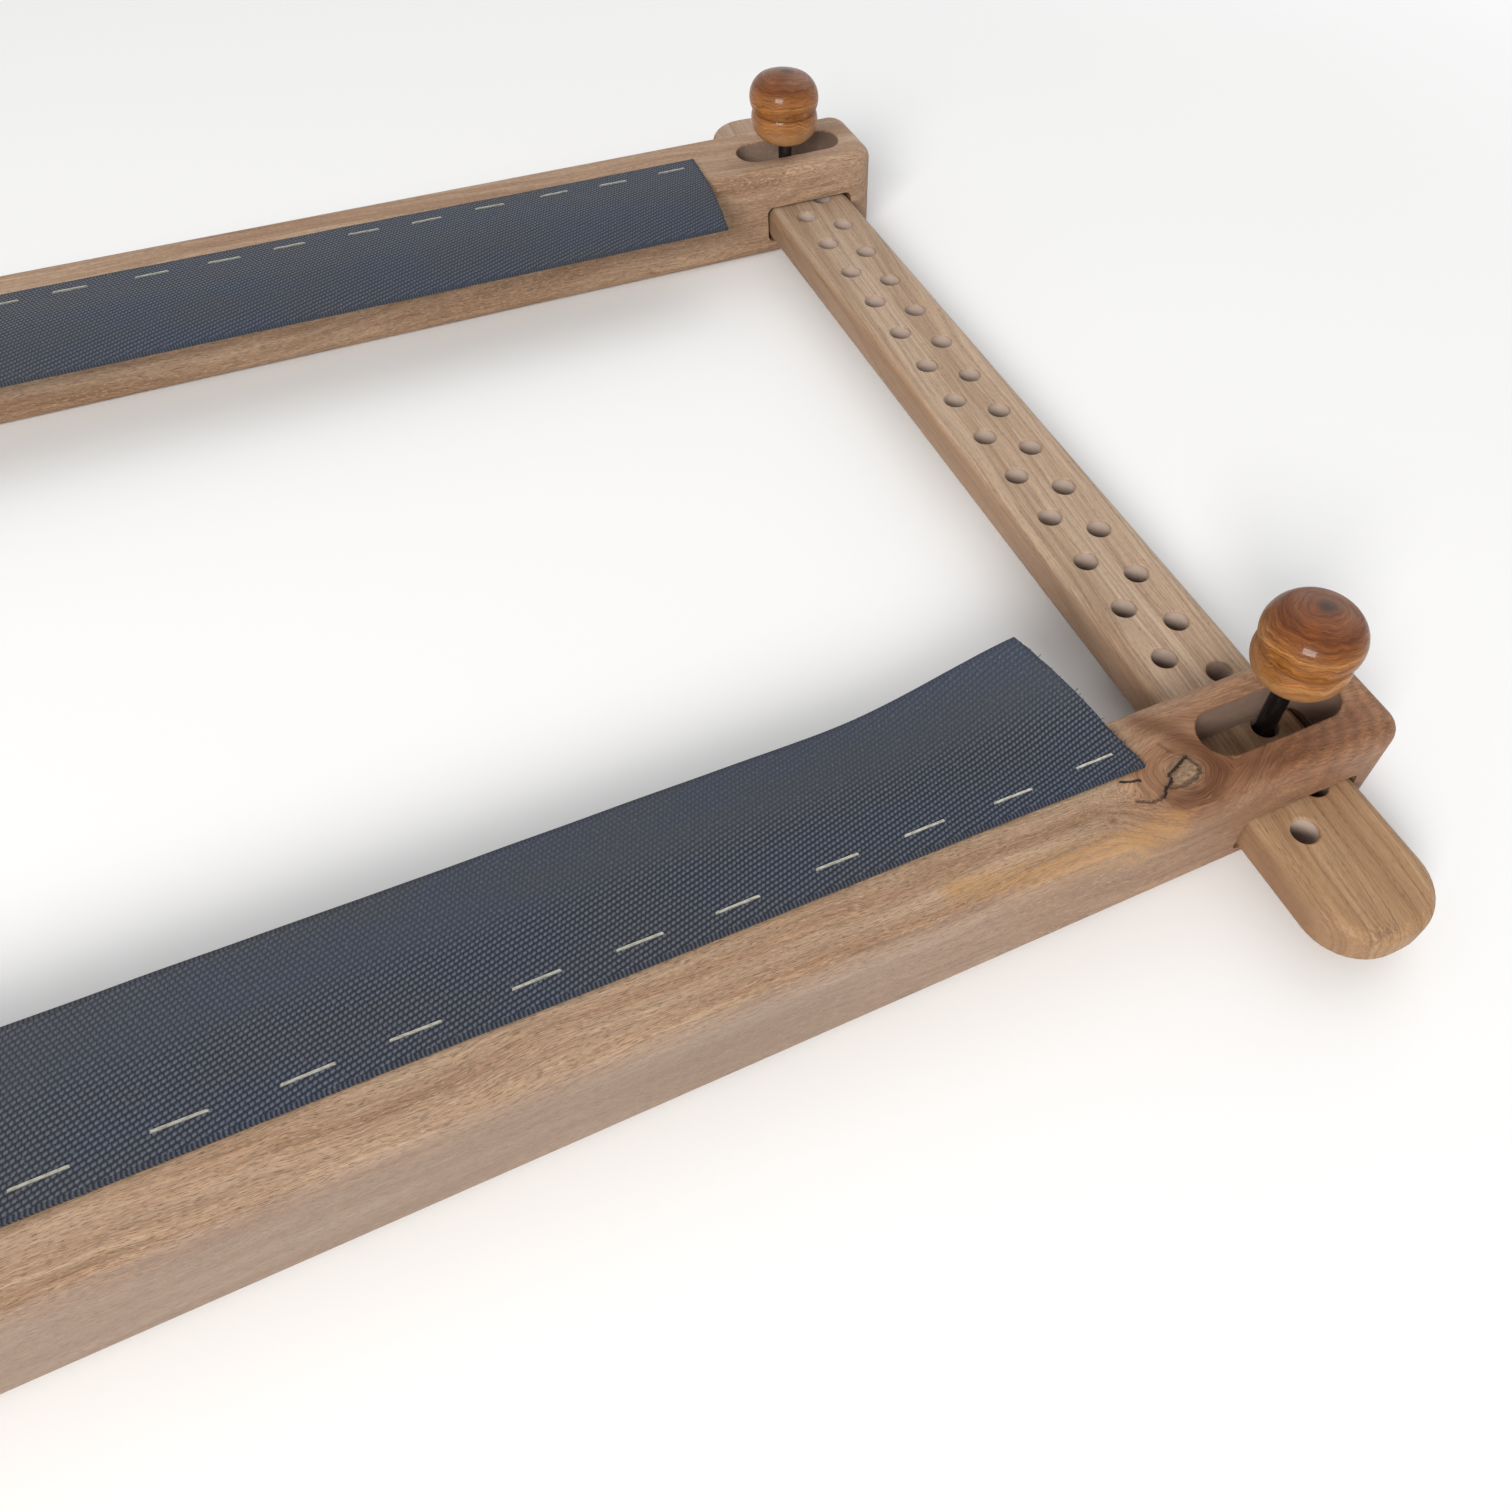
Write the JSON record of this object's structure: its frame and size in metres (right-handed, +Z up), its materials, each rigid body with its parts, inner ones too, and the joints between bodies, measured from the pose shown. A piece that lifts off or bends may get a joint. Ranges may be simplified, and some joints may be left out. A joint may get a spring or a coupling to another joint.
{
  "type": "embroidery slate frame",
  "caption": "Wooden hand-embroidery frame: two webbed beams held apart by pierced laths that slide through mortises and are set with knobbed steel pegs.",
  "frame": {"origin": "on the table under the middle of the frame, at the level of the beams' undersides", "axes": "+X along the beams to the right, +Y from the front beam to the rear beam, +Z up"},
  "size_m": [0.72, 0.498, 0.0745],
  "materials": {
    "beam_wood": "planed and waxed, satin",
    "lath_wood": "sanded, satin",
    "knob_wood": "turned and varnished, glossy",
    "pin_steel": "blackened steel rod",
    "webbing": "woven cotton webbing",
    "staple_wire": "bright galvanised wire"
  },
  "bodies": {
    "front_beam_set": {"front_beam": "beam_wood", "front_webbing": "webbing", "front_staples": "staple_wire"},
    "rear_beam_set": {"rear_beam": "beam_wood", "rear_webbing": "webbing", "rear_staples": "staple_wire"},
    "left_lath": {"left_lath": "lath_wood"},
    "right_lath": {"right_lath": "lath_wood"},
    "front_left_peg": {"front_left_pin": "pin_steel", "front_left_knob": "knob_wood"},
    "front_right_peg": {"front_right_pin": "pin_steel", "front_right_knob": "knob_wood"},
    "rear_left_peg": {"rear_left_pin": "pin_steel", "rear_left_knob": "knob_wood"},
    "rear_right_peg": {"rear_right_pin": "pin_steel", "rear_right_knob": "knob_wood"}
  },
  "joints": [
    {"name": "right_lath_play", "type": "slide", "parent": "front_beam_set", "child": "right_lath", "axis": [0, 1, 0], "range_m": [-0.0106, 0]},
    {"name": "left_lath_play", "type": "slide", "parent": "front_beam_set", "child": "left_lath", "axis": [0, 1, 0], "range_m": [-0.0106, 0]},
    {"name": "rear_beam_setting", "type": "slide", "parent": "right_lath", "child": "rear_beam_set", "axis": [0, 1, 0], "range_m": [-0.264, 0.024]},
    {"name": "front_left_peg_lift", "type": "slide", "parent": "left_lath", "child": "front_left_peg", "axis": [0, 0, 1], "range_m": [0, 0.04]},
    {"name": "front_right_peg_lift", "type": "slide", "parent": "right_lath", "child": "front_right_peg", "axis": [0, 0, 1], "range_m": [0, 0.04]},
    {"name": "rear_left_peg_lift", "type": "slide", "parent": "rear_beam_set", "child": "rear_left_peg", "axis": [0, 0, 1], "range_m": [0, 0.04]},
    {"name": "rear_right_peg_lift", "type": "slide", "parent": "rear_beam_set", "child": "rear_right_peg", "axis": [0, 0, 1], "range_m": [0, 0.04]}
  ],
  "couplings": [
    {"joint": "left_lath_play", "follows": "right_lath_play", "ratio": 1}
  ]
}
